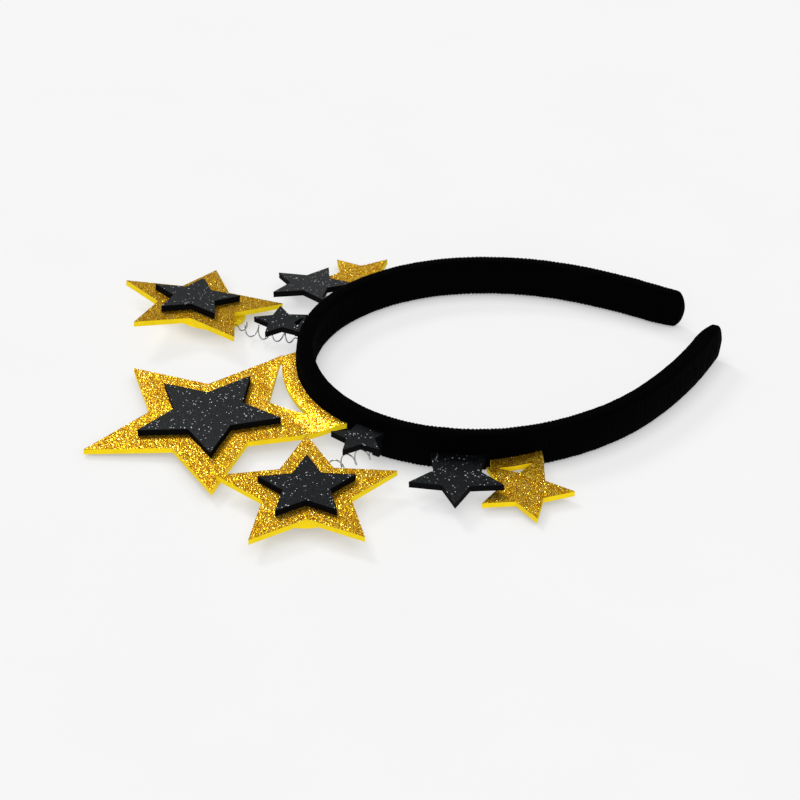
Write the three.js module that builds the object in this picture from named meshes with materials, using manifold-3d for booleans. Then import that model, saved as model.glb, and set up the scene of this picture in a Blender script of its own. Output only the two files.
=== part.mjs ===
// A star headband lying on a table: a wound velvet hoop with glitter foam stars glued along its crown.
// Millimetres, +Z up. The crown of the hoop points to -X and the wearer's left side is +Y.
import * as THREE from 'three';
import { mergeVertices } from 'three/addons/utils/BufferGeometryUtils.js';
import Module from 'manifold-3d';

const wasm = await Module();
wasm.setup();

// The hoop: each arm leaves the crown through these arcs, and the left arm is the mirror of the right.
const HOOP_ARCS = [
  { part: 'crown', radius: 62.3, length: 25 },
  { part: 'shoulder', radius: 56.5, length: 35 },
  { part: 'side', radius: 67.4, length: 45 },
  { part: 'temple', radius: 91, length: 45 },
  { part: 'tip', radius: 166, length: 70 },
];
const LEFT_ARM = 194.5;
const RIGHT_ARM = 203;
const BAND_WIDTH = 14.8;
const BAND_THICKNESS = 6.7;
const BAND_EDGE_ROUND = 2;
const BAND_EDGE_STEPS = 3;
const BAND_DOME = 0.5;
const BAND_DOME_STEPS = 4;
const BAND_STATION = 6;
const TIP_DEPTH = 3;
const TIP_START = 15;
const TIP_STEPS = 4;
const TIP_THIN = 0.55;
const TIP_TAPER = 12;

// The foam sheets and how they are glued.
const GOLD_SHEET = 2;
const BLACK_SHEET = 2.2;
const BACKING_SHEET = 2;
const GLUE = 0.2;
const SEAT_GAP = 0.3;
const INNER_RATIO = 0.48;
const STAR_TIPS = 5;
const LEG_ROOT = 0.8;
const LEG_CORNERS = [{ crotch: 3, foot: 4 }, { crotch: 7, foot: 6 }];
const BEND_START = 11;
const BEND_END = 1;
const BEND_MESH = 5;
const WELD = 1e-5;
const SLIVER = 0.05;

// The springs.
const WIRE = 0.6;
const WIRE_SIDES = 6;
const COIL_RADIUS = 2.35;
const COIL_PITCH = 4.6;
const COIL_STEPS_PER_TURN = 12;
const COIL_LEAD = 1.2;
const COIL_RAMP = 2.6;
const LEG_IN_BACKING = 5;
const LEG_IN_TAB = 1.4;
const BORE_PLAY = 0.2;
const BORE_SIDES = 8;
const BORE_MOUTH = 1;
const BACKING_SIDES = 32;
const TAB_SHEET = 2;
const TAB_HALF = 1.4;
const TAB_FOOT = 2.2;

// Stars glued straight to the band. along: place on the hoop from the crown, to the left. reach: star centre
// from the band's outer face. top: height of the upper face at the centre. roll, droop and lean in degrees.
// feet: the places on the hoop where the outer edges of the star's two legs meet the band. strip: the foam
// along the band between the legs. rise: how far foam that bends up onto the band rises at the two feet.
const GLUED_STARS = [
  { name: 'star_centre_gold', sheet: GOLD_SHEET, along: -7.5, reach: 35.3, radius: 46, roll: 2.3, top: 4.4,
    droop: 2.5, lean: -0.8, feet: [-37.5, 23.5], strip: { from: -31, to: 18, width: 4.6 },
    rise: [2.4, 0.3] },
  { name: 'side_star_left_black', sheet: BLACK_SHEET, along: 59.5, reach: 18.6, radius: 17, roll: 5.2,
    top: 6.8, droop: 5.6, lean: -4.9, feet: [49.8, 69.2], strip: { from: 51.8, to: 67.2, width: 4.6 } },
  { name: 'side_star_left_gold', sheet: GOLD_SHEET, along: 76, reach: 16.5, radius: 17, roll: 1.1, top: 3.6,
    droop: 3.7, lean: 0, feet: [66.3, 85.7], strip: { from: 68.3, to: 83.7, width: 4.6 } },
  { name: 'side_star_right_black', sheet: BLACK_SHEET, along: -75, reach: 11.9, radius: 17, roll: 2.1,
    top: 7.3, droop: 0, lean: 0, feet: [-83.7, -66.4], strip: { from: -81.7, to: -68.4, width: 4.6 } },
  { name: 'side_star_right_gold', sheet: GOLD_SHEET, along: -93, reach: 15.8, radius: 17, roll: 1.6, top: 3.9,
    droop: 3.2, lean: -0.6, feet: [-103.3, -84.5], strip: { from: -101.3, to: -85, width: 4.2 },
    rise: [2.2, 0.4] },
  { name: 'base_star_left', sheet: BLACK_SHEET, along: 34.5, reach: 10.1, radius: 10.8, roll: 5.3, top: 9,
    droop: 0, lean: 0, feet: [31.5, 37.5], strip: { from: 29.2, to: 38, width: 2.6 }, tab: 32 },
  { name: 'base_star_right', sheet: BLACK_SHEET, along: -44, reach: 5.4, radius: 10.8, roll: 0.1, top: 11,
    droop: 0, lean: 0, feet: [-47, -41], strip: { from: -48.6, to: -39.4, width: 2 }, tab: -47.5 },
];

// Gold stars on springs. backing: the disc's radius, and how far it sits toward the band. entry: where the
// wire enters the disc, in degrees from the band side. root: height of the wire at the band's tab.
const SPRUNG_STARS = [
  { side: 'left', along: 37.5, reach: 45.8, radius: 32.2, roll: -4.1, top: 7, droop: -3.1, lean: -7.9,
    backing: { radius: 13.4, shift: 5 }, entry: -20, tab: 32, root: 4 },
  { side: 'right', along: -44.5, reach: 37.7, radius: 32.2, roll: -0.4, top: 7.2, droop: 2, lean: 0.9,
    backing: { radius: 15.3, shift: 0 }, entry: 9, tab: -47.5, root: 4.8 },
];

// Black stars glued on gold ones: shift outward on the gold face, and roll against it.
const TOP_STARS = {
  centre: { radius: 26.4, shift: 0, roll: 0.5 },
  left: { radius: 17.4, shift: 1.7, roll: 1.2 },
  right: { radius: 17.4, shift: 0, roll: -0.6 },
};

function material(name, color, roughness, metalness) {
  return new THREE.MeshStandardMaterial({ name, color, roughness, metalness });
}

const velvet = material('black_velvet', 0x0b0b0c, 0.95, 0);
const goldFoam = material('gold_glitter', 0xc9a02c, 0.4, 0.4);
const blackFoam = material('black_glitter', 0x24272a, 0.6, 0);
const yellowFoam = material('yellow_foam', 0xf2cc10, 0.7, 0);
const steel = material('spring_steel', 0xc8cacc, 0.25, 1);

const radians = THREE.MathUtils.degToRad;

// A point on the middle line of the hoop, with its outward direction.
function hoopPoint(along) {
  const side = along < 0 ? -1 : 1;
  let left = Math.abs(along);
  let turn = 0;
  let x = 0;
  let y = 0;
  for (const arc of HOOP_ARCS) {
    const run = Math.min(left, arc.length);
    const next = turn + run / arc.radius;
    x += arc.radius * (Math.cos(turn) - Math.cos(next));
    y += arc.radius * (Math.sin(next) - Math.sin(turn));
    turn = next;
    left -= run;
  }
  return { x, y: side * y, outX: -Math.cos(turn), outY: side * Math.sin(turn) };
}

// A point beside the hoop: out is measured from the middle line, outward.
function besideHoop(along, out) {
  const p = hoopPoint(along);
  return new THREE.Vector2(p.x + p.outX * out, p.y + p.outY * out);
}

function steps(from, to, size) {
  const count = Math.max(2, Math.ceil(Math.abs(to - from) / size));
  return Array.from({ length: count + 1 }, (_, i) => from + ((to - from) * i) / count);
}

// The band's section seen along the hoop: out is across its thickness and up is across its width.
function bandSection() {
  const corners = [
    { out: 1, up: -1, start: -90 },
    { out: 1, up: 1, start: 0 },
    { out: -1, up: 1, start: 90 },
    { out: -1, up: -1, start: 180 },
  ];
  const section = [];
  for (const corner of corners) {
    const middleOut = corner.out * (BAND_THICKNESS / 2 - BAND_EDGE_ROUND) - (corner.out > 0 ? BAND_DOME : 0);
    const middleUp = corner.up * (BAND_WIDTH / 2 - BAND_EDGE_ROUND);
    for (let i = 0; i <= BAND_EDGE_STEPS; i++) {
      const angle = radians(corner.start + (90 * i) / BAND_EDGE_STEPS);
      section.push({
        out: middleOut + BAND_EDGE_ROUND * Math.cos(angle),
        up: middleUp + BAND_EDGE_ROUND * Math.sin(angle),
      });
    }
    if (corner.out > 0 && corner.up < 0) {
      for (let i = 1; i < BAND_DOME_STEPS; i++) {
        const share = (2 * i) / BAND_DOME_STEPS - 1;
        section.push({
          out: BAND_THICKNESS / 2 - BAND_DOME * share * share,
          up: share * (BAND_WIDTH / 2 - BAND_EDGE_ROUND),
        });
      }
    }
  }
  return section;
}

// Places along the hoop where the band's section stands. tall and thick: the shares left of it near the tips.
function bandStations() {
  const places = Array.from({ length: TIP_STEPS }, (_, i) => {
    const angle = radians(TIP_START + ((90 - TIP_START) * i) / TIP_STEPS);
    return { back: TIP_DEPTH * (1 - Math.cos(angle)), tall: Math.sin(angle) };
  });
  const stations = places.map(({ back, tall }) => ({ along: back - RIGHT_ARM, tall }));
  for (const along of steps(TIP_DEPTH - RIGHT_ARM, LEFT_ARM - TIP_DEPTH, BAND_STATION)) {
    stations.push({ along, tall: 1 });
  }
  for (const { back, tall } of places.reverse()) {
    stations.push({ along: LEFT_ARM - back, tall });
  }
  for (const station of stations) {
    const back = Math.min(station.along + RIGHT_ARM, LEFT_ARM - station.along, TIP_TAPER);
    station.thick = 1 - TIP_THIN * (1 - back / TIP_TAPER) ** 2;
  }
  return stations;
}

function bandGeometry() {
  const section = bandSection();
  const stations = bandStations();
  const positions = [];
  const index = [];
  for (const { along, tall, thick } of stations) {
    for (const { out, up } of section) {
      const p = besideHoop(along, BAND_THICKNESS / 2 - (BAND_THICKNESS / 2 - out) * thick);
      positions.push(p.x, p.y, BAND_WIDTH / 2 + up * tall);
    }
  }
  const ring = section.length;
  for (let i = 0; i + 1 < stations.length; i++) {
    for (let j = 0; j < ring; j++) {
      const a = i * ring + j;
      const b = i * ring + ((j + 1) % ring);
      index.push(a, b, a + ring, b, b + ring, a + ring);
    }
  }
  const last = (stations.length - 1) * ring;
  for (let j = 1; j + 1 < ring; j++) {
    index.push(0, j + 1, j, last, last + j, last + j + 1);
  }
  const geometry = new THREE.BufferGeometry();
  geometry.setAttribute('position', new THREE.Float32BufferAttribute(positions, 3));
  geometry.setIndex(index);
  return geometry;
}

function toManifold(geometry) {
  const bare = geometry.clone();
  bare.deleteAttribute('normal');
  bare.deleteAttribute('uv');
  const merged = mergeVertices(bare, WELD);
  return new wasm.Manifold(new wasm.Mesh({
    numProp: 3,
    vertProperties: new Float32Array(merged.attributes.position.array),
    triVerts: new Uint32Array(merged.index.array),
  }));
}

function fromManifold(solid) {
  const mesh = solid.getMesh();
  const geometry = new THREE.BufferGeometry();
  geometry.setAttribute('position', new THREE.BufferAttribute(new Float32Array(mesh.vertProperties), 3));
  geometry.setIndex(Array.from(mesh.triVerts));
  geometry.computeVertexNormals();
  return geometry;
}

// A flat plate cut to an outline, with its upper face at z = 0.
function plate(outline, thickness) {
  const geometry = new THREE.ExtrudeGeometry(new THREE.Shape(outline), {
    depth: thickness,
    bevelEnabled: false,
  });
  geometry.translate(0, 0, -thickness);
  return geometry;
}

function starOutline(radius) {
  return Array.from({ length: 2 * STAR_TIPS }, (_, i) => {
    const angle = (Math.PI * i) / STAR_TIPS;
    const r = i % 2 ? radius * INNER_RATIO : radius;
    return new THREE.Vector2(r * Math.cos(angle), r * Math.sin(angle));
  });
}

function starGeometry(radius, sheet) {
  return plate(starOutline(radius), sheet);
}

// A stretch of the ring between two distances from the hoop's middle line, as a closed outline on the table.
function ringOutline(from, to, inside, outside) {
  const places = steps(from, to, BAND_STATION / 2);
  const outer = places.map((along) => besideHoop(along, outside));
  const inner = places.map((along) => besideHoop(along, inside));
  return [...inner, ...outer.reverse()];
}

// The frame of a star: its own X points away from the band and its upper face is z = 0.
function starFrame(star) {
  const foot = hoopPoint(star.along);
  const centre = besideHoop(star.along, BAND_THICKNESS / 2 + star.reach);
  const frame = new THREE.Group();
  frame.position.set(centre.x, centre.y, star.top);
  frame.rotation.set(-radians(star.lean), radians(star.droop), Math.atan2(foot.outY, foot.outX), 'ZYX');
  frame.updateMatrixWorld(true);
  return frame;
}

const bandFace = BAND_THICKNESS / 2 + SEAT_GAP;
const bandOutline = ringOutline(-RIGHT_ARM, LEFT_ARM, -BAND_THICKNESS / 2, bandFace);
const bandClearance = toManifold(plate(bandOutline, 3 * BAND_WIDTH).translate(0, 0, 2 * BAND_WIDTH));

function springRoot(star) {
  const p = besideHoop(star.tab, bandFace + TAB_SHEET);
  return new THREE.Vector3(p.x, p.y, star.root);
}

function boreAlong(from, to) {
  const length = from.distanceTo(to);
  const bore = new THREE.CylinderGeometry(WIRE / 2 + BORE_PLAY, WIRE / 2 + BORE_PLAY, length, BORE_SIDES);
  const ahead = to.clone().sub(from).normalize();
  bore.applyQuaternion(new THREE.Quaternion().setFromUnitVectors(new THREE.Vector3(0, 1, 0), ahead));
  bore.translate(...from.clone().add(to).divideScalar(2));
  return toManifold(bore);
}

// The wire's place in a backing disc, in its star's frame: where it enters, and where it ends.
function wireInBacking(star) {
  const level = -GOLD_SHEET - GLUE - BACKING_SHEET / 2;
  const angle = Math.PI + radians(star.entry);
  const centre = new THREE.Vector3(-star.backing.shift, 0, level);
  const ray = new THREE.Vector3(Math.cos(angle), Math.sin(angle), 0);
  return {
    enter: centre.clone().addScaledVector(ray, star.backing.radius),
    end: centre.clone().addScaledVector(ray, star.backing.radius - LEG_IN_BACKING),
  };
}

// The middle line of a spring from its tab on the band to the disc under its star.
function springAxis(star, frame) {
  const wire = wireInBacking(star);
  const enter = wire.enter.clone().applyMatrix4(frame.matrixWorld);
  const end = wire.end.clone().applyMatrix4(frame.matrixWorld);
  const root = springRoot(star);
  const span = enter.distanceTo(root);
  const leave = enter.clone().sub(root).normalize();
  const arrive = end.clone().sub(enter).normalize();
  return {
    root,
    enter,
    leave,
    arrive,
    curve: new THREE.CubicBezierCurve3(
      root,
      root.clone().addScaledVector(leave, span / 3),
      enter.clone().addScaledVector(arrive, -span / 3),
      enter,
    ),
  };
}

// A wire that runs straight out of the tab, winds round the middle line, and runs straight into the disc.
class CoilCurve extends THREE.Curve {
  constructor(axis) {
    super();
    this.axis = axis;
    this.span = axis.curve.getLength();
    this.whole = LEG_IN_TAB + this.span + LEG_IN_BACKING;
    this.turns = Math.round((this.span - COIL_LEAD) / COIL_PITCH);
  }

  getPoint(t, target = new THREE.Vector3()) {
    const at = t * this.whole - LEG_IN_TAB;
    if (at <= 0) {
      return target.copy(this.axis.root).addScaledVector(this.axis.leave, at);
    }
    if (at >= this.span) {
      return target.copy(this.axis.enter).addScaledVector(this.axis.arrive, at - this.span);
    }
    const share = at / this.span;
    const ahead = this.axis.curve.getTangentAt(share);
    const side = new THREE.Vector3(-ahead.y, ahead.x, 0).normalize();
    const up = new THREE.Vector3().crossVectors(ahead, side);
    const inside = Math.min(at, this.span - at);
    const swell = THREE.MathUtils.smoothstep(inside, COIL_LEAD, COIL_LEAD + COIL_RAMP);
    const angle = -2 * Math.PI * this.turns * share;
    return this.axis.curve.getPointAt(share, target)
      .addScaledVector(side, COIL_RADIUS * swell * Math.sin(angle))
      .addScaledVector(up, COIL_RADIUS * swell * Math.cos(angle));
  }
}

function springGeometry(axis) {
  const coil = new CoilCurve(axis);
  const round = Array.from({ length: WIRE_SIDES }, (_, i) => {
    const angle = (2 * Math.PI * i) / WIRE_SIDES;
    return new THREE.Vector2((WIRE / 2) * Math.cos(angle), (WIRE / 2) * Math.sin(angle));
  });
  return new THREE.ExtrudeGeometry(new THREE.Shape(round), {
    steps: Math.ceil((coil.turns + 1) * COIL_STEPS_PER_TURN * (coil.whole / coil.span)),
    extrudePath: coil,
  });
}

function tabSolid(star, root, leave) {
  const outline = ringOutline(star.tab - TAB_HALF, star.tab + TAB_HALF, bandFace, bandFace + TAB_SHEET);
  const tall = star.top - star.sheet / 2 - TAB_FOOT;
  const block = toManifold(plate(outline, tall).translate(0, 0, TAB_FOOT + tall));
  const deep = root.clone().addScaledVector(leave, -LEG_IN_TAB - BORE_PLAY);
  return block.subtract(boreAlong(deep, root.clone().addScaledVector(leave, BORE_MOUTH)));
}

// The outlines glued stars are cut to beside the star itself, in its own plane: the strip along the band, and
// the legs that fill the star's two feet out to the strip's ends.
function footOutlines(star, intoFrame) {
  const { from, to, width } = star.strip;
  const flat = (p) => {
    const local = new THREE.Vector3(p.x, p.y, star.top).applyMatrix4(intoFrame);
    return new THREE.Vector2(local.x, local.y);
  };
  const middle = new THREE.Vector2();
  const corners = starOutline(star.radius).map((p) => p.rotateAround(middle, radians(star.roll)));
  const legs = LEG_CORNERS.map(({ crotch, foot }, i) => [
    corners[crotch],
    corners[foot].clone().multiplyScalar(LEG_ROOT),
    flat(besideHoop(star.feet[i], 0)),
  ]);
  return [ringOutline(from, to, bandFace, bandFace + width).map(flat), ...legs];
}

// How far a point lies from the band's face between a star's feet, and its share of the way between them.
function besideFeet(point, [first, second]) {
  let nearest = { away: Infinity, share: 0 };
  for (const along of steps(first, second, 1)) {
    const p = besideHoop(along, bandFace);
    const away = Math.hypot(point.x - p.x, point.y - p.y);
    if (away < nearest.away) {
      nearest = { away, share: (along - first) / (second - first) };
    }
  }
  return nearest;
}

// Foam bends up onto the band over the last millimetres before it.
function bentUp(solid, star, frame) {
  if (!star.rise) {
    return solid;
  }
  return solid.simplify(SLIVER).refineToLength(BEND_MESH).warp((vertex) => {
    const point = new THREE.Vector3(...vertex).applyMatrix4(frame.matrixWorld);
    const { away, share } = besideFeet(point, star.feet);
    const bent = 1 - THREE.MathUtils.smoothstep(away, BEND_END, BEND_START);
    vertex[2] += bent * THREE.MathUtils.lerp(star.rise[0], star.rise[1], share);
  });
}

// A star with its legs and strip, trimmed where it meets the band.
function gluedStarGeometry(star, frame, spring) {
  const intoFrame = frame.matrixWorld.clone().invert();
  const turned = starGeometry(star.radius, star.sheet).rotateZ(radians(star.roll));
  let solid = toManifold(turned);
  for (const outline of footOutlines(star, intoFrame)) {
    solid = solid.add(toManifold(plate(outline, star.sheet)));
  }
  if (spring) {
    solid = solid.add(tabSolid(star, spring.root, spring.leave).transform(intoFrame.elements));
  }
  solid = solid.subtract(bandClearance.transform(intoFrame.elements));
  return fromManifold(bentUp(solid, star, frame));
}

function backingGeometry(star) {
  const { radius, shift } = star.backing;
  const disc = new THREE.CylinderGeometry(radius, radius, BACKING_SHEET, BACKING_SIDES);
  disc.rotateX(Math.PI / 2);
  disc.translate(-shift, 0, -GOLD_SHEET - GLUE - BACKING_SHEET / 2);
  const wire = wireInBacking(star);
  const along = wire.end.clone().sub(wire.enter).normalize();
  const bore = boreAlong(
    wire.enter.clone().addScaledVector(along, -BORE_MOUTH),
    wire.end.clone().addScaledVector(along, BORE_PLAY),
  );
  return fromManifold(toManifold(disc).subtract(bore));
}

function named(name, geometry, material) {
  const mesh = new THREE.Mesh(geometry, material);
  mesh.name = name;
  return mesh;
}

function topStar(name, size) {
  const mesh = named(name, starGeometry(size.radius, BLACK_SHEET), blackFoam);
  mesh.position.set(size.shift, 0, GLUE + BLACK_SHEET);
  mesh.rotation.z = radians(size.roll);
  return mesh;
}

// Where a sprung star sways from side to side as its spring bends: its +Z is the axis.
function swayHinge(star) {
  const hinge = new THREE.Object3D();
  hinge.name = `sway_${star.side}`;
  hinge.position.copy(springRoot(star));
  return hinge;
}

const headband = new THREE.Group();
headband.name = 'star_headband';
const assembly = new THREE.Group();
headband.add(assembly);
assembly.add(named('band', bandGeometry(), velvet));

const springs = {};
for (const star of SPRUNG_STARS) {
  const frame = starFrame(star);
  const axis = springAxis(star, frame);
  springs[`base_star_${star.side}`] = axis;
  const gold = starGeometry(star.radius, GOLD_SHEET).rotateZ(radians(star.roll));
  const black = topStar(`star_${star.side}_black`, TOP_STARS[star.side]);
  black.rotation.z += radians(star.roll);
  frame.add(named(`star_${star.side}_gold`, gold, goldFoam));
  frame.add(black);
  frame.add(named(`backing_${star.side}`, backingGeometry(star), yellowFoam));
  assembly.add(frame);
  assembly.add(named(`spring_${star.side}`, springGeometry(axis), steel));
  assembly.add(swayHinge(star));
}

for (const star of GLUED_STARS) {
  const frame = starFrame(star);
  const foam = star.sheet === GOLD_SHEET ? goldFoam : blackFoam;
  frame.add(named(star.name, gluedStarGeometry(star, frame, springs[star.name]), foam));
  if (star.name === 'star_centre_gold') {
    const black = topStar('star_centre_black', TOP_STARS.centre);
    black.rotation.z += radians(star.roll);
    frame.add(black);
  }
  assembly.add(frame);
}

// The origin is the middle of the headband's outline, on the table.
const box = new THREE.Box3().setFromObject(assembly, true);
assembly.position.set(-(box.min.x + box.max.x) / 2, -(box.min.y + box.max.y) / 2, -box.min.z);

export default headband;
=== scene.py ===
"""A star headband lying on a table: wound velvet on the hoop, glitter foam stars and wire springs.

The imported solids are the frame. Shapes are worked out in millimetres in that frame and become meshes in
metres. Places along the hoop are measured from its crown, and those on the wearer's left are positive.
"""
import math

import bmesh
import bpy
import numpy as np
from mathutils import Euler, Matrix, Vector, noise
from mathutils.geometry import delaunay_2d_cdt


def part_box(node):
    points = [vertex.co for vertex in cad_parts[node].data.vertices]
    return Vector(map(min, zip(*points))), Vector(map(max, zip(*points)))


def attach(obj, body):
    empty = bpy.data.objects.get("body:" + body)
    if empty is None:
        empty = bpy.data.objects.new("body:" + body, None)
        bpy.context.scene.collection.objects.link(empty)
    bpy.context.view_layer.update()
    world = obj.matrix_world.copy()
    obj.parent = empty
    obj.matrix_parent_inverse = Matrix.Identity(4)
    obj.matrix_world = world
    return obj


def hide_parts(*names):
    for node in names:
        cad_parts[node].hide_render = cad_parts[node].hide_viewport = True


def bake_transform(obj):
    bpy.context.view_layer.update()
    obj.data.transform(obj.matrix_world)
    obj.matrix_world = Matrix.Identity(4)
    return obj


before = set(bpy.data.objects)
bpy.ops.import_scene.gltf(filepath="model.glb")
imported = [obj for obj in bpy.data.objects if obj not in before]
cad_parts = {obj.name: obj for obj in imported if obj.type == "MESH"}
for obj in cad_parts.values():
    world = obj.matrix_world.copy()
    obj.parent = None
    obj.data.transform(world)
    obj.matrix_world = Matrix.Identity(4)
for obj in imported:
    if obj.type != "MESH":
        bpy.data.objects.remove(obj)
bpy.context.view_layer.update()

# Metres in a millimetre, and a length too short to divide by.
MM = 0.001
TINY = 1e-9

# The hoop's middle line: each arm leaves the crown through these arcs, as (radius, length).
HOOP_ARCS = [(62.3, 25), (56.5, 35), (67.4, 45), (91, 45), (166, 70)]
LEFT_ARM = 194.5
RIGHT_ARM = 203

# The band's section: its edges are rounded and its outer face is domed.
BAND_WIDTH = 14.8
BAND_THICKNESS = 6.7
BAND_EDGE_ROUND = 2.0
BAND_DOME = 0.5

# The band's tips: rounded over their depth by rings from a first angle on, thinned over a longer taper, and
# closed by a low cap.
TIP_DEPTH = 3.0
TIP_START = math.radians(15)
TIP_RINGS = 9
TIP_THIN = 0.55
TIP_TAPER = 12.0
CAP_BULGE = 0.1
CAP_RINGS = 4

# The winding on the band: uneven ribs across its width that fade toward the tips, each with a groove given
# as (share of the pitch, share of the depth). The surface has a slow wave and a soft pile. A ring nearer
# than the gap to the one before it is left out.
RIB_PITCH = 1.4
RIB_DEPTH = 0.3
RIB_UNEVEN = 0.16
RIB_DEPTH_UNEVEN = 2 * RIB_UNEVEN
RIB_FADE = 7.0
RIB_PROFILE = [(0.0, 1.0), (0.11, 0.5), (0.29, 0.1), (0.5, 0.0), (0.71, 0.1), (0.89, 0.5)]
RING_GAP = 0.05
PILE = 0.05
WAVE = 0.1
WAVE_LENGTH = 4.0
WAVES_PER_MM_ACROSS = 0.3
BAND_SEED = 11

# Each kind of foam: its slot, the sheet's depth, the size and relief of the facets on its face, and how
# ragged the knife left its edge.
FOAMS = {
    "gold": {"slot": "gold_glitter_foam", "sheet": 2.0, "facet": 0.36, "relief": 0.058, "ragged": 0.04},
    "black": {"slot": "black_glitter_foam", "sheet": 2.2, "facet": 0.42, "relief": 0.013, "ragged": 0.1},
    "yellow": {"slot": "yellow_foam", "sheet": 2.0, "facet": 1.2, "relief": 0.02, "ragged": 0.04},
}
BACK_FACET = 2.5
BACK_RELIEF = 0.03
FOAM_SEED = 5

# The two materials of a foam piece: that of its face, and that of its cut edge and back.
FACE = 0
CUT = 1

# Each foam piece: its CAD node, the foam it is cut from and the body it rides on.
FOAM_PIECES = [
    ("star_centre_gold", "gold", "headband"),
    ("star_centre_black", "black", "headband"),
    ("side_star_left_black", "black", "headband"),
    ("side_star_left_gold", "gold", "headband"),
    ("side_star_right_black", "black", "headband"),
    ("side_star_right_gold", "gold", "headband"),
    ("base_star_left", "black", "headband"),
    ("base_star_right", "black", "headband"),
    ("star_left_gold", "gold", "star_left"),
    ("star_left_black", "black", "star_left"),
    ("backing_left", "yellow", "star_left"),
    ("star_right_gold", "gold", "star_right"),
    ("star_right_black", "black", "star_right"),
    ("backing_right", "yellow", "star_right"),
]

# The black stars that are glued on gold ones reach down through the glue.
GLUED_ON_GOLD = {"star_centre_black", "star_left_black", "star_right_black"}
GLUE = 0.2

# The cut edge of a sheet, as (share of the sheet's depth, inset). Its two rims are less ragged.
EDGE_PROFILE = [
    (0.0, 0.06), (0.03, 0.03), (0.1, 0.0), (0.34, 0.04),
    (0.62, 0.05), (0.88, 0.0), (0.97, 0.03), (1.0, 0.07),
]
RIM_RAGGED = 0.3

# Outlines: short edges are dropped, sharp corners become arcs that take up to a share of each edge, and long
# edges are divided. The mitre is the least cosine by which an inset is lengthened at a corner.
SHORT_EDGE = 0.5
CORNER_ROUND = 0.16
CORNER_TURN = math.radians(25)
CORNER_STEPS = 4
CORNER_SHARE = 0.4
EDGE_STEP = 0.9
MITRE = 0.35

# Facets: how far their corners stray from an even grid and stay from the rim, as shares of the facet, and
# how the triangulation joins points and treats the outline.
GRID_PLAY = 0.33
RIM_MARGIN = 0.3
SAME_POINT = 1e-5
INSIDE_EDGES = 1

# Foam that bends up onto the band: its feet along the hoop and how far it rises at each. The bend starts and
# ends at these distances from the band's face.
BENDS = {
    "star_centre_gold": {"feet": (-37.5, 23.5), "rise": (2.4, 0.3)},
    "side_star_right_gold": {"feet": (-103.3, -84.5), "rise": (2.2, 0.4)},
}
BEND_START = 11.0
BEND_END = 1.0

# How a foam solid's upper face is found: its corners are welded, the faces that look up give its plane, the
# bend is taken out in a few rounds, and what then lies level with that plane is the face.
WELD = 0.002
LOOKS_UP = 0.9
UNBEND_ROUNDS = 3
LEVEL_PLAY = 0.15

# Foam at the band: the solids keep a gap to the band's face, and edges at that gap are pressed in. The
# nearest place on the hoop is looked for in steps.
SEAT_GAP = 0.3
PRESS = 0.9
PRESS_REACH = 0.25
PRESS_STEP = 0.25

# The tab under each base star that takes the wire: its place along the hoop, half its length, its depth, the
# height of its foot, the points on each long side of its outline, and its side, as (share of the height,
# inset).
TABS = {"base_star_left": 32.0, "base_star_right": -47.5}
TAB_HALF = 1.4
TAB_SHEET = 2.0
TAB_FOOT = 2.2
TAB_POINTS = 7
TAB_PROFILE = [(0.0, 0.35), (0.1, 0.08), (0.3, 0.0), (0.85, 0.0), (1.0, 0.0)]

# The springs: a wire that leaves the tab straight, widens into a coil, and runs straight into the disc. The
# coil's axis has its direction taken over a small share of its length to each side.
WIRE = 0.54
WIRE_SIDES = 8
COIL_RADIUS = 2.38
COIL_PITCH = 4.6
COIL_STEPS_PER_TURN = 30
COIL_LEAD = 1.2
COIL_RAMP = 2.6
AXIS_STEP = 0.01
LEG_IN_BACKING = 4.6
LEG_IN_TAB = 1.2

# Each sprung star: its place along the hoop, how far it stands off the band, the height of its face, and its
# droop and lean in degrees. Then the disc under it: its radius, its shift toward the band, and where the wire
# enters it, in degrees. Last the tab's place along the hoop and the height of the wire's root.
SPRUNG = {
    "left": {"along": 37.5, "reach": 45.8, "top": 7.0, "droop": -3.1, "lean": -7.9,
             "disc": 13.4, "shift": 5.0, "entry": -20.0, "tab": TABS["base_star_left"], "root": 4.0},
    "right": {"along": -44.5, "reach": 37.7, "top": 7.2, "droop": 2.0, "lean": 0.9,
              "disc": 15.3, "shift": 0.0, "entry": 9.0, "tab": TABS["base_star_right"], "root": 4.8},
}

# The table: half its width, how far it lies below the part, and how far the painted shadow on it reaches from
# the part.
TABLE_HALF = 4000.0
TABLE_SINK = 0.2
TABLE_PAINTED_SHADE = 7.0

# The photograph's camera, from a fit of the hoop and the star tips: its aim from the crown of the hoop's
# middle line and its distance, in millimetres.
AIM = Vector((31.15, -10.22, 0.0))
CAMERA_AZIMUTH = math.radians(-13.528)
CAMERA_ELEVATION = math.radians(32.346)
CAMERA_DISTANCE = 832.945
SENSOR = 36.0
LENS = 104.95

# The places of a mix node's sockets for colours.
MIX_FACTOR = 0
MIX_FIRST = 6
MIX_SECOND = 7
MIX_RESULT = 2


# Sockets and nodes

def add(tree, kind, inputs=None, **settings):
    """A new node with its settings made and its inputs set, or linked where the value is a socket."""
    made = tree.nodes.new(kind)
    for key, value in settings.items():
        setattr(made, key, value)
    for key, value in (inputs or {}).items():
        if isinstance(value, bpy.types.NodeSocket):
            tree.links.new(value, made.inputs[key])
        else:
            made.inputs[key].default_value = value
    return made


def principled(name, values):
    """A material with its shader's constant sockets set. Returns the material, its tree and the shader."""
    made = bpy.data.materials.new(name)
    made.use_nodes = True
    shader = made.node_tree.nodes["Principled BSDF"]
    for key, value in values.items():
        shader.inputs[key].default_value = value
    return made, made.node_tree, shader


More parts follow.
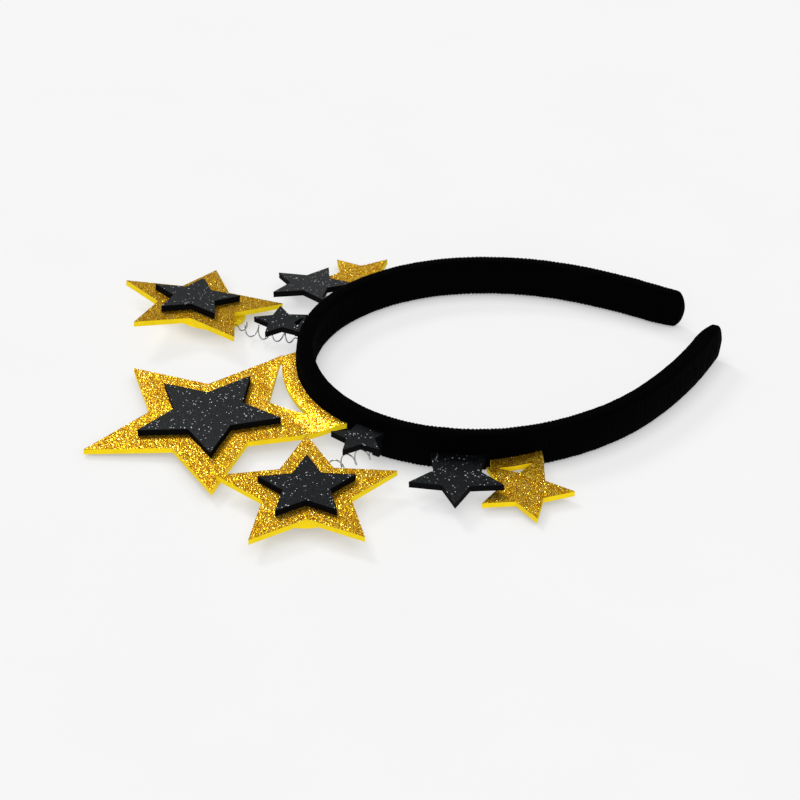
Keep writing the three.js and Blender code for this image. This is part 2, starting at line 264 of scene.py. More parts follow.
def ramp(tree, factor, stops, interpolation="LINEAR"):
    """A colour ramp with stops of (place, colour)."""
    made = add(tree, "ShaderNodeValToRGB", {"Fac": factor})
    made.color_ramp.interpolation = interpolation
    elements = made.color_ramp.elements
    while len(elements) < len(stops):
        elements.new(0.5)
    for element, (place, colour) in zip(elements, stops):
        element.position = place
        element.color = (*colour, 1.0)
    return made.outputs["Color"]


def grain(tree, size, detail=2.0, roughness=0.5):
    """Noise in the object's own coordinates with features of about that size, in millimetres."""
    place = add(tree, "ShaderNodeTexCoord").outputs["Object"]
    made = add(tree, "ShaderNodeTexNoise", {
        "Vector": place, "Scale": 1 / (size * MM), "Detail": detail, "Roughness": roughness,
    })
    return made.outputs["Fac"]


def glints(tree):
    """The value from 0 to 1 that each facet of a foam piece was given."""
    return add(tree, "ShaderNodeAttribute", attribute_name="glint").outputs["Fac"]


def spread(tree, value, low, high):
    """A value from 0 to 1 taken to a range."""
    made = add(tree, "ShaderNodeMapRange", {"Value": value, "To Min": low, "To Max": high})
    return made.outputs["Result"]


def bump(tree, height, depth, strength):
    """A bump of that depth, in millimetres."""
    made = add(tree, "ShaderNodeBump", {"Height": height, "Distance": depth * MM, "Strength": strength})
    return made.outputs["Normal"]


def mixed(tree, first, second, kind):
    """Two colours mixed in full, by a kind of blend."""
    made = add(tree, "ShaderNodeMix", {MIX_FACTOR: 1.0, MIX_FIRST: first, MIX_SECOND: second},
               data_type="RGBA", blend_type=kind)
    return made.outputs[MIX_RESULT]


# Materials

def gold_glitter():
    """Gold glitter: each facet has its own tone from dark amber to pale gold, partly the flakes' random tone
    and partly painted glints and shade.
    """
    made, tree, shader = principled("gold_glitter", {
        "Metallic": 0.8,
        "Specular Tint": (1.0, 0.8, 0.3, 1.0),
    })
    glint = glints(tree)
    # The facet tones are partly random and partly painted: the palest facets are painted glints, the darkest
    # painted shade.
    shade = ramp(tree, glint, [
        (0.0, (0.10, 0.021, 0.0002)), (0.3, (0.40, 0.135, 0.0006)), (0.6, (0.76, 0.39, 0.0015)),
        (0.85, (0.95, 0.69, 0.010)), (1.0, (0.98, 0.95, 0.34)),
    ])
    drift = ramp(tree, grain(tree, size=9.0), [(0.35, (0.88, 0.84, 0.8)), (0.65, (1.0, 1.0, 1.0))])
    tree.links.new(mixed(tree, shade, drift, "MULTIPLY"), shader.inputs["Base Color"])
    tree.links.new(spread(tree, glint, low=0.52, high=0.26), shader.inputs["Roughness"])
    relief = bump(tree, grain(tree, size=0.12), depth=0.02, strength=0.3)
    tree.links.new(relief, shader.inputs["Normal"])
    return made


def black_glitter():
    """Black glitter: a dark satin film with a few silver facets."""
    made, tree, shader = principled("black_glitter", {
        "Specular IOR Level": 0.13,
        "Specular Tint": (0.86, 0.97, 1.0, 1.0),
    })
    glint = glints(tree)
    film = ramp(tree, grain(tree, size=1.1, detail=4.0, roughness=0.6), [
        (0.3, (0.0018, 0.0023, 0.0026)), (0.75, (0.0045, 0.006, 0.007)),
    ])
    flake = ramp(tree, glint, [
        (0.0, (0.0, 0.0, 0.0)), (0.93, (0.012, 0.013, 0.015)), (0.97, (0.06, 0.065, 0.07)),
        (0.986, (0.8, 0.83, 0.88)),
    ], "CONSTANT")
    tree.links.new(mixed(tree, film, flake, "ADD"), shader.inputs["Base Color"])
    silver = ramp(tree, glint, [(0.0, (0.0, 0.0, 0.0)), (0.986, (0.3, 0.3, 0.3))], "CONSTANT")
    tree.links.new(silver, shader.inputs["Metallic"])
    tree.links.new(spread(tree, grain(tree, size=0.5), low=0.28, high=0.42), shader.inputs["Roughness"])
    relief = bump(tree, grain(tree, size=0.25, detail=3.0), depth=0.03, strength=0.35)
    tree.links.new(relief, shader.inputs["Normal"])
    return made


def foam(name, light, dark, pore, shine):
    """Cut foam: a fine closed-cell grain, with its pores darker than the skin as painted shade."""
    made, tree, shader = principled(name, {"Roughness": 0.75, "Specular IOR Level": shine})
    cells = add(tree, "ShaderNodeTexVoronoi", {
        "Vector": add(tree, "ShaderNodeTexCoord").outputs["Object"], "Scale": 1 / (pore * MM),
    }).outputs["Distance"]
    # The pores' darker colour is painted shade in them.
    skin_and_painted_pore_shade = ramp(tree, cells, [(0.05, dark), (0.4, light)])
    drift = ramp(tree, grain(tree, size=5.0), [(0.3, (0.9, 0.9, 0.9)), (0.7, (1.0, 1.0, 1.0))])
    tree.links.new(mixed(tree, skin_and_painted_pore_shade, drift, "MULTIPLY"), shader.inputs["Base Color"])
    tree.links.new(bump(tree, cells, depth=0.06, strength=0.5), shader.inputs["Normal"])
    return made


def velvet():
    """Black velvet winding: a deep pile with a faint sheen along its ribs."""
    made, tree, shader = principled("black_velvet", {
        "Specular IOR Level": 0.01,
        "Sheen Weight": 0.012,
        "Sheen Roughness": 0.45,
        "Sheen Tint": (0.5, 0.53, 0.6, 1.0),
    })
    pile = grain(tree, size=0.22, detail=4.0, roughness=0.65)
    shade = ramp(tree, pile, [(0.3, (0.0002, 0.0002, 0.0002)), (0.75, (0.0014, 0.0014, 0.0016))])
    tree.links.new(shade, shader.inputs["Base Color"])
    tree.links.new(spread(tree, pile, low=0.85, high=1.0), shader.inputs["Roughness"])
    tree.links.new(bump(tree, pile, depth=0.12, strength=0.7), shader.inputs["Normal"])
    return made


def spring_steel():
    """Drawn steel wire, with faint drawing marks."""
    made, tree, shader = principled("spring_steel", {"Metallic": 1.0})
    marks = grain(tree, size=0.3, detail=3.0)
    shade = ramp(tree, marks, [(0.3, (0.30, 0.31, 0.33)), (0.7, (0.58, 0.59, 0.61))])
    tree.links.new(shade, shader.inputs["Base Color"])
    tree.links.new(spread(tree, marks, low=0.16, high=0.34), shader.inputs["Roughness"])
    return made


def table_top():
    """The pale table, which glows evenly but for a painted shadow close to the part."""
    made, tree, shader = principled("pale_table", {
        "Roughness": 0.9,
        "Specular IOR Level": 0.1,
        "Emission Strength": 0.735,
    })
    shade = ramp(tree, grain(tree, size=60.0), [(0.3, (0.195, 0.195, 0.195)), (0.7, (0.205, 0.205, 0.205))])
    tree.links.new(shade, shader.inputs["Base Color"])
    # The glow is dimmed where the part is close above the table: a painted shadow round the part.
    painted_shade_near_part = add(tree, "ShaderNodeAmbientOcclusion", {"Distance": TABLE_PAINTED_SHADE * MM}, samples=8)
    glow_with_painted_shade = ramp(tree, painted_shade_near_part.outputs["AO"], [(0.0, (0.45, 0.45, 0.45)), (0.95, (1.0, 1.0, 1.0))])
    tree.links.new(glow_with_painted_shade, shader.inputs["Emission Color"])
    return made


# Meshes and curves

def new_piece(name, points, faces, materials, slots=None, smooth=True):
    """A new object from points in millimetres. Slots and smooth may hold a value for each face."""
    mesh = bpy.data.meshes.new(name)
    mesh.from_pydata((np.asarray(points, float) * MM).tolist(), [], faces)
    for material in materials:
        mesh.materials.append(material)
    if slots is not None:
        mesh.polygons.foreach_set("material_index", np.asarray(slots, np.int32))
    mesh.polygons.foreach_set("use_smooth", np.full(len(faces), smooth))
    mesh.update()
    made = bpy.data.objects.new(name, mesh)
    bpy.context.scene.collection.objects.link(made)
    return made


def ring_faces(rings, size):
    """Quads between rings of points laid out one after another, each ring of that size."""
    faces = []
    for i in range(rings - 1):
        for j in range(size):
            a, b = i * size + j, i * size + (j + 1) % size
            faces.append((a, b, b + size, a + size))
    return faces


def tube_faces(rings, size):
    """Quads between rings of points, with the first and the last ring closed."""
    foot = tuple(range(size))
    top = tuple(range((rings - 1) * size, rings * size))
    return ring_faces(rings, size) + [foot[::-1], top]


def smoothstep(x, low, high):
    """A smooth rise from 0 at low to 1 at high."""
    t = np.clip((x - low) / (high - low), 0, 1)
    return t * t * (3 - 2 * t)


# The hoop

class Hoop:
    """The middle line of the band, in the frame of the solids, in millimetres."""

    def __init__(self):
        low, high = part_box("band")
        self.x = low.x / MM + BAND_THICKNESS / 2
        self.y = (low.y + high.y) / 2 / MM

    def point(self, along):
        """A point of the middle line, and the outward direction there."""
        side = -1 if along < 0 else 1
        left, turn, x, y = abs(along), 0.0, 0.0, 0.0
        for radius, length in HOOP_ARCS:
            run = min(left, length)
            after = turn + run / radius
            x += radius * (math.cos(turn) - math.cos(after))
            y += radius * (math.sin(after) - math.sin(turn))
            turn, left = after, left - run
        out = Vector((-math.cos(turn), side * math.sin(turn), 0))
        return Vector((self.x + x, self.y + side * y, 0)), out

    def beside(self, along, out):
        """A point that far outside the middle line."""
        middle, outward = self.point(along)
        return middle + outward * out

    def pressed(self, points):
        """The points on the table, with those at the band's face pressed against it."""
        places = [self.point(along) for along in np.arange(-RIGHT_ARM, LEFT_ARM, PRESS_STEP)]
        line = np.array([middle.xy for middle, _ in places])
        outward = np.array([out.xy for _, out in places])
        nearest = np.linalg.norm(points[:, None] - line[None], axis=2).argmin(1)
        away = ((points - line[nearest]) * outward[nearest]).sum(1)
        close = np.abs(away - BAND_THICKNESS / 2 - SEAT_GAP) < PRESS_REACH
        return points - outward[nearest] * (close * PRESS)[:, None]


hoop = Hoop()


# The band

def band_section():
    """The band's section as (out, up) points round it, from the outer lower corner."""
    half_out, half_up = BAND_THICKNESS / 2, BAND_WIDTH / 2
    corner_steps, face_steps, rim_steps = 5, 8, 3
    section = []

    def corner(out, up, start):
        middle_out = out * (half_out - BAND_EDGE_ROUND) - (BAND_DOME if out > 0 else 0)
        middle_up = up * (half_up - BAND_EDGE_ROUND)
        for i in range(corner_steps + 1):
            angle = math.radians(start + 90 * i / corner_steps)
            section.append((middle_out + BAND_EDGE_ROUND * math.cos(angle),
                            middle_up + BAND_EDGE_ROUND * math.sin(angle)))

    def straight(count, shape):
        section.extend(shape(2 * i / count - 1) for i in range(1, count))

    flat_up, rim_out = half_up - BAND_EDGE_ROUND, half_out - BAND_EDGE_ROUND
    corner(1, -1, -90)
    straight(face_steps, lambda share: (half_out - BAND_DOME * share * share, share * flat_up))
    corner(1, 1, 0)
    straight(rim_steps, lambda share: (-share * rim_out - BAND_DOME / 2 * (1 - share), half_up))
    corner(-1, 1, 90)
    straight(face_steps, lambda share: (-half_out, -share * flat_up))
    corner(-1, -1, 180)
    straight(rim_steps, lambda share: (share * rim_out - BAND_DOME / 2 * (1 + share), -half_up))
    return section


def tip_shares(along):
    """How much of the band's height and thickness is left at a place, as it narrows to its tips."""
    back = max(0.0, min(along + RIGHT_ARM, LEFT_ARM - along))
    tall = 1.0 if back >= TIP_DEPTH else math.sqrt(1 - (1 - back / TIP_DEPTH) ** 2)
    thick = 1.0 if back >= TIP_TAPER else 1 - TIP_THIN * (1 - back / TIP_TAPER) ** 2
    return tall, thick


def rib_stations(random):
    """Places along the hoop with how deep the groove is there."""
    angles = np.linspace(TIP_START, math.pi / 2, TIP_RINGS)
    backs = [TIP_DEPTH * (1 - math.cos(angle)) for angle in angles]
    places = [(back - RIGHT_ARM, 0.0) for back in backs[:-1]]
    along, last = TIP_DEPTH - RIGHT_ARM, LEFT_ARM - TIP_DEPTH
    while along < last - RIB_PITCH:
        pitch = RIB_PITCH * (1 + RIB_UNEVEN * random.uniform(-1, 1))
        depth = 1 + RIB_DEPTH_UNEVEN * random.uniform(-1, 1)
        for share, groove in RIB_PROFILE:
            place = along + pitch * share
            fade = min(1.0, min(place + RIGHT_ARM, LEFT_ARM - place) / RIB_FADE)
            places.append((place, groove * depth * fade))
        along += pitch
    places.extend((LEFT_ARM - back, 0.0) for back in reversed(backs))
    return [p for i, p in enumerate(places) if i == 0 or p[0] > places[i - 1][0] + RING_GAP]


def make_band():
    """The wound hoop: rings of its section from tip to tip, with a cap of smaller rings on each end."""
    random = np.random.default_rng(BAND_SEED)
    section = band_section()
    size = len(section)
    half_out, half_up = BAND_THICKNESS / 2, BAND_WIDTH / 2
    points = []

    def ring(along, groove, share, bulge):
        tall, thick = tip_shares(along)
        middle, outward = hoop.point(along)
        ahead = Vector((outward.y, -outward.x, 0))
        for out, up in section:
            reach = math.hypot(out, up)
            across = (out * WAVES_PER_MM_ACROSS, up * WAVES_PER_MM_ACROSS)
            wave = WAVE * noise.noise(Vector((along / WAVE_LENGTH, *across)))
            pile = PILE * random.uniform(-1, 1)
            inward = (RIB_DEPTH * groove + WAVE / 2 + PILE - wave - pile) * share
            scale = share * (1 - inward / reach)
            place = middle + outward * (half_out - (half_out - out * scale) * thick) + ahead * bulge
            points.append((place.x, place.y, half_up + up * tall * scale))

    stations = rib_stations(random)
    caps = [math.sin(math.pi / 2 * i / CAP_RINGS) for i in range(1, CAP_RINGS)]
    first, last = stations[0][0], stations[-1][0]
    for share in caps:
        ring(first, 0.0, share, CAP_BULGE * math.sqrt(1 - share * share))
    for along, groove in stations:
        ring(along, groove, 1.0, 0.0)
    for share in reversed(caps):
        ring(last, 0.0, share, -CAP_BULGE * math.sqrt(1 - share * share))
    rings = len(points) // size
    faces = ring_faces(rings, size)
    ends = ((first, CAP_BULGE, 0, 1), (last, -CAP_BULGE, (rings - 1) * size, -1))
    for along, bulge, start, step in ends:
        _, thick = tip_shares(along)
        middle, outward = hoop.point(along)
        ahead = Vector((outward.y, -outward.x, 0))
        tip = middle + ahead * bulge + outward * half_out * (1 - thick)
        hub = len(points)
        points.append((tip.x, tip.y, half_up))
        for j in range(size):
            pair = (start + j, start + (j + 1) % size)
            faces.append((hub, *pair[::-step]))
    piece = new_piece("velvet_band", points, [face[::-1] for face in faces], [VELVET])
    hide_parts("band")
    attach(piece, "headband")


# Foam outlines

def bend(node, points):
    """How far foam at these points on the table rises as it bends up onto the band, in millimetres."""
    if node not in BENDS:
        return np.zeros(len(points))
    first, second = BENDS[node]["feet"]
    low, high = BENDS[node]["rise"]
    places = np.linspace(first, second, math.ceil(second - first) + 1)
    on_band = np.array([hoop.beside(along, BAND_THICKNESS / 2 + SEAT_GAP).xy for along in places])
    away = np.linalg.norm(np.asarray(points)[:, None, :] - on_band[None], axis=2)
    share = (places[away.argmin(1)] - first) / (second - first)
    return (1 - smoothstep(away.min(1), BEND_END, BEND_START)) * (low + (high - low) * share)


def unbent(node):
    """A foam node's mesh with its bend taken out, the direction up from its plane, and its top's level."""
    mesh = bmesh.new()
    mesh.from_mesh(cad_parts[node].data)
    mesh.transform(Matrix.Scale(1 / MM, 4))
    bmesh.ops.remove_doubles(mesh, verts=mesh.verts, dist=WELD)
    mesh.normal_update()
    rises = bend(node, [v.co.xy for v in mesh.verts])
    raised = {v for v, rise in zip(mesh.verts, rises) if rise > 0}
    flat = [f for f in mesh.faces if f.normal.z > LOOKS_UP and raised.isdisjoint(f.verts)]
    up = sum((f.normal * f.calc_area() for f in flat), Vector()).normalized()
    level = max(f.calc_center_median().dot(up) for f in flat)
    bent = [v.co.copy() for v in mesh.verts]
    for _ in range(UNBEND_ROUNDS):
        for vert, was, rise in zip(mesh.verts, bent, bend(node, [v.co.xy for v in mesh.verts])):
            vert.co = was - up * rise
    return mesh, up, level


def borders(faces):
    """The loops of vertices round faces that lie side by side."""
    among = set(faces)
    after = {}
    for face in faces:
        for loop in face.loops:
            if sum(f in among for f in loop.edge.link_faces) == 1:
                after[loop.vert] = loop.link_loop_next.vert
    outlines = []
    while after:
        start = next(iter(after))
        outline, here = [start], after.pop(start)
        while here is not start:
            outline.append(here)
            here = after.pop(here)
        outlines.append(outline)
    return outlines


def upper_face(node):
    """The outline loops of a foam node's upper face, laid flat in its own plane, with the plane's frame."""
    mesh, up, level = unbent(node)
    top = [f for f in mesh.faces if all(abs(v.co.dot(up) - level) < LEVEL_PLAY for v in f.verts)]
    across = (Vector((1, 0, 0)) - up * up.x).normalized()
    area = sum(f.calc_area() for f in top)
    middle = sum((f.calc_center_median() * f.calc_area() for f in top), Vector()) / area
    place = Matrix.Translation(middle) @ Matrix((across, up.cross(across), up)).transposed().to_4x4()
    into = place.inverted()
    loops = []
    for outline in borders(top):
        seated = hoop.pressed(np.array([v.co.xy for v in outline]))
        loops.append(np.array([(into @ Vector((*p, v.co.z))).xy for p, v in zip(seated, outline)]))
    mesh.free()
    return loops, place


def cleaned(outline):
    """The outline without edges too short to round.

    Of each such edge, the end that shapes the outline less is dropped.
    """
    points = list(outline)

    def shaping(i):
        before, here, after = points[i - 1], points[i], points[(i + 1) % len(points)]
        return abs((here - before)[0] * (after - here)[1] - (here - before)[1] * (after - here)[0])

    while True:
        lengths = [np.linalg.norm(points[(i + 1) % len(points)] - points[i]) for i in range(len(points))]
        shortest = int(np.argmin(lengths))
        if lengths[shortest] >= SHORT_EDGE:
            return np.array(points)
        points.pop(min(shortest, (shortest + 1) % len(points), key=shaping))


def rounded(outline):
    """The outline with its sharp corners rounded by arcs and its long edges divided."""
    made = []
    count = len(outline)
    for i in range(count):
        before, here, after = outline[i - 1], outline[i], outline[(i + 1) % count]
        to_here, to_next = here - before, after - here
        first, second = np.linalg.norm(to_here), np.linalg.norm(to_next)
        turn = math.atan2(to_here[0] * to_next[1] - to_here[1] * to_next[0], to_here @ to_next)
        if abs(turn) < CORNER_TURN:
            made.append(here)
            continue
        back = min(CORNER_ROUND * math.tan(abs(turn) / 2), CORNER_SHARE * first, CORNER_SHARE * second)
        radius = back / math.tan(abs(turn) / 2)
        side = math.copysign(1, turn)
        ahead = to_here / first
        start = here - ahead * back
        centre = start + side * radius * np.array([-ahead[1], ahead[0]])
        spoke = start - centre
        for k in range(CORNER_STEPS + 1):
            angle = turn * k / CORNER_STEPS
            made.append(centre + np.array([
                spoke[0] * math.cos(angle) - spoke[1] * math.sin(angle),
                spoke[0] * math.sin(angle) + spoke[1] * math.cos(angle),
            ]))
    divided = []
    for i, here in enumerate(made):
        after = made[(i + 1) % len(made)]
        steps = max(1, round(np.linalg.norm(after - here) / EDGE_STEP))
        divided.extend(here + (after - here) * k / steps for k in range(steps))
    return np.array(divided)


def inward_normals(outline):
    """Directions into the foam at an outline's points, lengthened at corners so that an inset is even."""
    edges = np.roll(outline, -1, 0) - outline
    edges /= np.maximum(np.linalg.norm(edges, axis=1, keepdims=True), TINY)
    left = np.stack([-edges[:, 1], edges[:, 0]], 1)
    both = left + np.roll(left, 1, 0)
    both /= np.maximum(np.linalg.norm(both, axis=1, keepdims=True), TINY)
    return both / np.maximum((both * left).sum(1, keepdims=True), MITRE)


# Foam pieces

def inside(points, loops, margin=0.0):
    """Which points lie inside the loops and out of their holes, at least a margin from them."""
    odd = np.zeros(len(points), bool)
    near = np.full(len(points), np.inf)
    for loop in loops:
        for a, b in zip(loop, np.roll(loop, -1, 0)):
            step = b - a
            crosses = (a[1] > points[:, 1]) != (b[1] > points[:, 1])
            if step[1]:
                odd ^= crosses & (points[:, 0] < a[0] + step[0] * (points[:, 1] - a[1]) / step[1])
            share = np.clip(((points - a) @ step) / max(step @ step, TINY), 0, 1)
            near = np.minimum(near, np.linalg.norm(points - a - share[:, None] * step, axis=1))
    return odd & (near >= margin)


def scattered(loops, spacing, random):
    """Points over the loops' inside, on an uneven hexagonal grid."""
    low, high = loops[0].min(0), loops[0].max(0)
    rows = np.arange(low[1], high[1], spacing * math.sqrt(0.75))
    columns = np.arange(low[0], high[0], spacing)
    grid = [(x + spacing / 2 * (i % 2), y) for i, y in enumerate(rows) for x in columns]
    loose = np.array(grid) + random.uniform(-GRID_PLAY, GRID_PLAY, (len(grid), 2)) * spacing
    return loose[inside(loose, loops, RIM_MARGIN * spacing)]


def filled(loops, spread_points):
    """Triangles over the inside of the loops, and points added where a loop crosses itself.

    The triangles are indices into the loops' points, followed by the spread points and the added points.
    """
    points = np.concatenate([*loops, spread_points]) if len(spread_points) else np.concatenate(loops)
    edges, start = [], 0
    for loop in loops:
        edges += [(start + i, start + (i + 1) % len(loop)) for i in range(len(loop))]
        start += len(loop)
    found = delaunay_2d_cdt([Vector(p) for p in points], edges, [], INSIDE_EDGES, SAME_POINT)
    places, _, triangles, sources, _, _ = found
    origin, added = [], []
    for place, source in zip(places, sources):
        origin.append(source[0] if source else len(points) + len(added))
        if not source:
            added.append(place)
    middles = np.array([np.mean([places[i] for i in face], axis=0) for face in triangles])
    kept = [face for face, within in zip(triangles, inside(middles, loops)) if within]
    return [tuple(origin[i] for i in face) for face in kept], added


def cut_edge(loops, depth, ragged, random):
    """The cut edge of a sheet: rings of points round all its loops, from the upper rim down, and faces."""
    normals = [inward_normals(loop) for loop in loops]
    points = []
    for share, inset in EDGE_PROFILE:
        rough = ragged * (1.0 if 0 < share < 1 else RIM_RAGGED)
        for loop, into in zip(loops, normals):
            shift = inset + rough * random.uniform(0, 1, len(loop))
            ring = loop + into * shift[:, None]
            points += [(x, y, -depth * share) for x, y in ring]
    total = sum(len(loop) for loop in loops)
    faces, start = [], 0
    for loop in loops:
        for i in range(len(EDGE_PROFILE) - 1):
            for j in range(len(loop)):
                a, b = i * total + start + j, i * total + start + (j + 1) % len(loop)
                faces.append((a, a + total, b + total, b))
        start += len(loop)
    return points, faces


def cover(points, first, sizes, facet, relief, random):
    """Adds the points of uneven facets over a rim, and returns the facets, which look up.

    The rim's points start at that place in the list and form loops of these sizes.
    """
    total = sum(sizes)
    edge = np.array(points[first:first + total])[:, :2]
    rims = np.split(edge, np.cumsum(sizes)[:-1])
    inner = scattered(rims, facet, random)
    base = len(points)
    height = points[first][2]
    lift = relief * random.uniform(-1, 1, len(inner))
    points += [(x, y, height + rise) for (x, y), rise in zip(inner, lift)]
    triangles, added = filled(rims, inner)
    points += [(x, y, height) for x, y in added]
    index = [*range(first, first + total), *range(base, len(points))]
    return [tuple(index[i] for i in face) for face in triangles]


def cut_foam(node, kind, random):
    """Foam sheet cut to a node's outline: glitter facets on top, a soft cut edge and a plain back."""
    foam_kind = FOAMS[kind]
    loops, place = upper_face(node)
    loops.sort(key=lambda loop: -np.ptp(loop, 0).prod())
    loops = [rounded(cleaned(loop)) for loop in loops if np.ptp(loop, 0).max() > SHORT_EDGE]
    sizes = [len(loop) for loop in loops]
    depth = foam_kind["sheet"] + (GLUE if node in GLUED_ON_GOLD else 0.0)
    points, edge = cut_edge(loops, depth, foam_kind["ragged"], random)
    lower_rim = len(points) - sum(sizes)
    face = cover(points, 0, sizes, foam_kind["facet"], foam_kind["relief"], random)
    back = cover(points, lower_rim, sizes, BACK_FACET, BACK_RELIEF, random)
    faces = edge + face + [corners[::-1] for corners in back]
    slots = [CUT] * len(edge) + [FACE] * len(face) + [CUT] * len(back)
    moved = [place @ Vector(p) for p in points]
    up = place.to_3x3().col[2]
    rises = bend(node, [p.xy for p in moved])
    return [p + up * rise for p, rise in zip(moved, rises)], faces, slots


def tab_block(node):
    """The foam tab that hangs under a base star against the band, as points and faces."""
    along = TABS[node]
    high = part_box(node)[1].z / MM - FOAMS["black"]["sheet"] / 2
    inner = BAND_THICKNESS / 2 + SEAT_GAP
    outline = []
    for out, order in ((inner, 1), (inner + TAB_SHEET, -1)):
        for share in np.linspace(-1, 1, TAB_POINTS)[::order]:
            outline.append(hoop.beside(along + share * TAB_HALF, out).xy)
    outline = rounded(np.array(outline))
    after = np.roll(outline, -1, 0)
    area = (outline[:, 0] * after[:, 1] - outline[:, 1] * after[:, 0]).sum()
    outline = outline if area > 0 else outline[::-1]
    normals = inward_normals(outline)
    points = []
    for share, inset in TAB_PROFILE:
        ring = outline + normals * inset
        points += [Vector((x, y, TAB_FOOT + (high - TAB_FOOT) * share)) for x, y in ring]
    return points, tube_faces(len(TAB_PROFILE), len(outline))


def make_foam(node, kind, body, random):
    """A foam piece in the place of its node, with its tab if it has one."""
    points, faces, slots = cut_foam(node, kind, random)
    if node in TABS:
        tab_points, tab_faces = tab_block(node)
        start = len(points)
        points += tab_points
        faces += [tuple(start + i for i in face) for face in tab_faces]
        slots += [CUT] * len(tab_faces)
    smooth = np.array(slots) == CUT
    piece = new_piece(f"foam_{node}", points, faces, FOAM_LOOKS[kind], slots, smooth)
    glint = piece.data.attributes.new("glint", "FLOAT", "FACE")
    glint.data.foreach_set("value", random.uniform(0, 1, len(faces)).astype(np.float32))
    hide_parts(node)
    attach(piece, body)


# Springs

def spring_ends(star):
    """Where a spring leaves its tab, and where its wire enters and ends in the disc under its star."""
    foot, outward = hoop.point(star["along"])
    centre = foot + outward * (BAND_THICKNESS / 2 + star["reach"])
    heading = math.atan2(outward.y, outward.x)
    turn = Matrix.Rotation(heading, 4, "Z") @ Matrix.Rotation(math.radians(star["droop"]), 4, "Y")
    turn = turn @ Matrix.Rotation(-math.radians(star["lean"]), 4, "X")
    place = Matrix.Translation((centre.x, centre.y, star["top"])) @ turn
    level = -FOAMS["gold"]["sheet"] - GLUE - FOAMS["yellow"]["sheet"] / 2
    angle = math.pi + math.radians(star["entry"])
    ray = Vector((math.cos(angle), math.sin(angle), 0))
    middle = Vector((-star["shift"], 0, level))
    root = hoop.beside(star["tab"], BAND_THICKNESS / 2 + SEAT_GAP + TAB_SHEET)
    root.z = star["root"]
    enter = place @ (middle + ray * star["disc"])
    end = place @ (middle + ray * (star["disc"] - LEG_IN_BACKING))
    return root, enter, end


def coil_path(root, enter, end):
    """The wire's middle line: straight out of the tab, wound round a bent axis, straight into the disc."""
    span = (enter - root).length
    leave, arrive = (enter - root).normalized(), (end - enter).normalized()
    handles = [root, root + leave * span / 3, enter - arrive * span / 3, enter]

    def axis(t):
        weights = ((1 - t) ** 3, 3 * t * (1 - t) ** 2, 3 * t * t * (1 - t), t ** 3)
        return sum((h * w for h, w in zip(handles, weights)), Vector())

    turns = round((span - COIL_LEAD) / COIL_PITCH)
    path = [root - leave * LEG_IN_TAB]
    for i in range(turns * COIL_STEPS_PER_TURN + 1):
        share = i / (turns * COIL_STEPS_PER_TURN)
        ahead = (axis(min(1, share + AXIS_STEP)) - axis(max(0, share - AXIS_STEP))).normalized()
        side = Vector((-ahead.y, ahead.x, 0)).normalized()
        up = ahead.cross(side)
        at = share * span
        swell = COIL_RADIUS * smoothstep(min(at, span - at), COIL_LEAD, COIL_LEAD + COIL_RAMP)
        angle = -2 * math.pi * turns * share
        path.append(axis(share) + side * (swell * math.sin(angle)) + up * (swell * math.cos(angle)))
    path.append(end)
    return path


def wire_tube(path):
    """A round tube along a path, with its ends closed."""
    points = []
    side = None
    for i, here in enumerate(path):
        ahead = (path[min(i + 1, len(path) - 1)] - path[max(i - 1, 0)]).normalized()
        side = ahead.orthogonal() if side is None else side - ahead * side.dot(ahead)
        side.normalize()
        other = ahead.cross(side)
        for k in range(WIRE_SIDES):
            angle = 2 * math.pi * k / WIRE_SIDES
            points.append(here + (side * math.cos(angle) + other * math.sin(angle)) * (WIRE / 2))
    return points, tube_faces(len(path), WIRE_SIDES)


def make_spring(side):
    """A spring that bends between the band and its star."""
    root, enter, end = spring_ends(SPRUNG[side])
    points, faces = wire_tube(coil_path(root, enter, end))
    piece = new_piece(f"wire_spring_{side}", points, faces, [STEEL])
    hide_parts(f"spring_{side}")
    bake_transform(piece)


# The table, the light and the camera

def make_table():
    """A wide square that the part lies on."""
    signs = ((-1, -1), (1, -1), (1, 1), (-1, 1))
    corners = [(x * TABLE_HALF, y * TABLE_HALF, -TABLE_SINK) for x, y in signs]
    table = new_piece("table", corners, [(0, 1, 2, 3)], [table_top()], smooth=False)


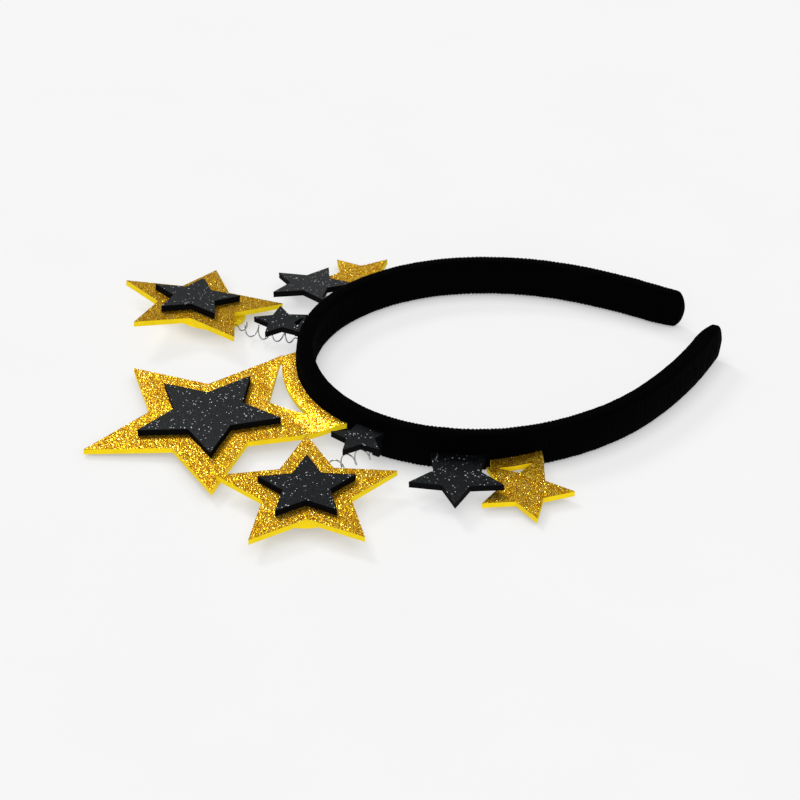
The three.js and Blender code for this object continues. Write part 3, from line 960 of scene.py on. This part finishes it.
def make_light(name, azimuth, elevation, strength, angle):
    """A soft light far away: azimuth 0 stands on the camera's side, toward -Y, and turns toward +X."""
    lamp = bpy.data.lights.new(name, "SUN")
    lamp.energy = strength
    lamp.angle = math.radians(angle)
    made = bpy.data.objects.new(name, lamp)
    made.rotation_euler = Euler((math.radians(90 - elevation), 0, math.radians(azimuth)))
    bpy.context.scene.collection.objects.link(made)


def make_world(strength):
    """An even white surround."""
    world = bpy.data.worlds.new("studio")
    world.use_nodes = True
    world.node_tree.nodes["Background"].inputs["Color"].default_value = (1, 1, 1, 1)
    world.node_tree.nodes["Background"].inputs["Strength"].default_value = strength
    bpy.context.scene.world = world


def make_camera():
    """The photograph's camera."""
    camera = bpy.data.cameras.new("camera")
    camera.sensor_width = SENSOR
    camera.lens = LENS
    made = bpy.data.objects.new("camera", camera)
    back = Vector((
        math.sin(CAMERA_AZIMUTH) * math.cos(CAMERA_ELEVATION),
        -math.cos(CAMERA_AZIMUTH) * math.cos(CAMERA_ELEVATION),
        math.sin(CAMERA_ELEVATION),
    ))
    crown, _ = hoop.point(0)
    made.location = (crown + AIM + back * CAMERA_DISTANCE) * MM
    made.rotation_euler = (-back).to_track_quat("-Z", "Y").to_euler()
    bpy.context.scene.collection.objects.link(made)
    bpy.context.scene.camera = made


GOLD = gold_glitter()
BLACK = black_glitter()
# Each foam's dark colour is painted shade in its pores.
YELLOW_FOAM = foam(
    "yellow_foam", light=(1.0, 0.74, 0.0), dark=(0.95, 0.64, 0.0), pore=0.35, shine=0.25,
)
BLACK_FOAM = foam(
    "black_foam", light=(0.004, 0.004, 0.0045), dark=(0.001, 0.001, 0.001), pore=0.45, shine=0.03,
)
VELVET = velvet()
STEEL = spring_steel()

# The materials of each kind of foam: its face, and its cut edge and back.
FOAM_LOOKS = {
    "gold": (GOLD, YELLOW_FOAM),
    "black": (BLACK, BLACK_FOAM),
    "yellow": (YELLOW_FOAM, YELLOW_FOAM),
}

make_camera()
make_table()
make_world(strength=0.42)
make_light("key", azimuth=200, elevation=42, strength=1.65, angle=16)
make_light("fill", azimuth=-13, elevation=24, strength=1.05, angle=50)
bpy.context.scene.view_settings.view_transform = "Standard"

make_band()
shuffle = np.random.default_rng(FOAM_SEED)
for node_name, foam_name, body_name in FOAM_PIECES:
    make_foam(node_name, foam_name, body_name, shuffle)
for spring_side in SPRUNG:
    make_spring(spring_side)
